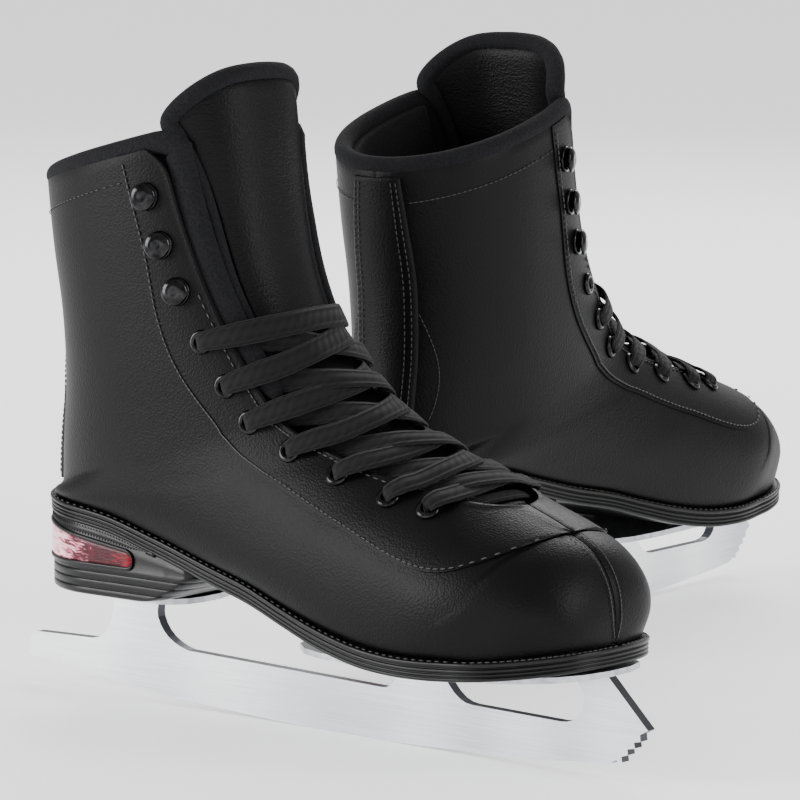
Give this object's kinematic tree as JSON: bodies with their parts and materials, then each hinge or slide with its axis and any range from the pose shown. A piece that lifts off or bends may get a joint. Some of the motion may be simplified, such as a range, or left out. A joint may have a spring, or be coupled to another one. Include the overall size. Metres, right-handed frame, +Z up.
{
  "type": "pair of figure skates",
  "caption": "Pair of high lace-up figure skates with padded collars, stacked heels with a red lens, and flat rockered steel blades with toe picks.",
  "frame": {"origin": "centre of the bounding box of the pair, at the level of the ice", "axes": "+Z up from the ice; +X to the right and +Y away from a viewer who faces the pair; the right skate's toe points 40 degrees toward the viewer from +X and the left skate's toe 54.2 degrees away from it"},
  "size_m": [0.2956, 0.4328, 0.2357],
  "materials": {
    "pebbled_leather": "satin pebbled synthetic leather",
    "lining_knit": "brushed knit",
    "lace_braid": "flat woven",
    "sole_rubber": "glossy moulded rubber",
    "red_lens": "translucent moulded",
    "stiffener_board": "pressed fibre",
    "black_nickel": "black nickel plate",
    "blade_steel": "brushed along its length",
    "zinc_steel": "bright plated"
  },
  "bodies": {
    "right_boot": {"right_blade": "blade_steel", "right_heel_plate": "zinc_steel", "right_toe_plate": "zinc_steel", "right_outsole": "sole_rubber", "right_heel_block": "sole_rubber", "right_heel_lens": "red_lens", "right_insole_board": "stiffener_board", "right_footbed": "lining_knit", "right_lining": "lining_knit", "right_collar_binding": "lining_knit", "right_backstay": "pebbled_leather", "right_heel_counter": "stiffener_board", "right_toe_box": "stiffener_board", "right_tongue_lower": "pebbled_leather", "right_lace": "lace_braid", "right_outer_quarter": "pebbled_leather", "right_outer_facing": "pebbled_leather", "right_outer_eyelets": "black_nickel", "right_inner_quarter": "pebbled_leather", "right_inner_facing": "pebbled_leather", "right_inner_eyelets": "black_nickel", "right_heel_screw_1": "zinc_steel", "right_heel_screw_2": "zinc_steel", "right_heel_screw_3": "zinc_steel", "right_heel_screw_4": "zinc_steel", "right_toe_screw_1": "zinc_steel", "right_toe_screw_2": "zinc_steel", "right_toe_screw_3": "zinc_steel", "right_toe_screw_4": "zinc_steel"},
    "right_tongue": {"right_tongue_upper": "pebbled_leather"},
    "left_boot": {"left_blade": "blade_steel", "left_heel_plate": "zinc_steel", "left_toe_plate": "zinc_steel", "left_outsole": "sole_rubber", "left_heel_block": "sole_rubber", "left_heel_lens": "red_lens", "left_insole_board": "stiffener_board", "left_footbed": "lining_knit", "left_lining": "lining_knit", "left_collar_binding": "lining_knit", "left_backstay": "pebbled_leather", "left_heel_counter": "stiffener_board", "left_toe_box": "stiffener_board", "left_tongue_lower": "pebbled_leather", "left_lace": "lace_braid", "left_outer_quarter": "pebbled_leather", "left_outer_facing": "pebbled_leather", "left_outer_eyelets": "black_nickel", "left_inner_quarter": "pebbled_leather", "left_inner_facing": "pebbled_leather", "left_inner_eyelets": "black_nickel", "left_heel_screw_1": "zinc_steel", "left_heel_screw_2": "zinc_steel", "left_heel_screw_3": "zinc_steel", "left_heel_screw_4": "zinc_steel", "left_toe_screw_1": "zinc_steel", "left_toe_screw_2": "zinc_steel", "left_toe_screw_3": "zinc_steel", "left_toe_screw_4": "zinc_steel"},
    "left_tongue": {"left_tongue_upper": "pebbled_leather"}
  },
  "joints": [
    {"name": "right_tongue_fold", "type": "hinge", "parent": "right_boot", "child": "right_tongue", "pos_m": [-0.0428, -0.10918, 0.15358], "axis": [0.6428, 0.766, 0], "range_deg": [-3, 35]},
    {"name": "left_tongue_fold", "type": "hinge", "parent": "left_boot", "child": "left_tongue", "pos_m": [0.04652, 0.08982, 0.15358], "axis": [-0.8111, 0.585, 0], "range_deg": [-3, 35]},
    {"name": "left_skate_lift", "type": "slide", "parent": "right_boot", "child": "left_boot", "axis": [0, 0, 1], "range_m": [0, 0.25]}
  ]
}
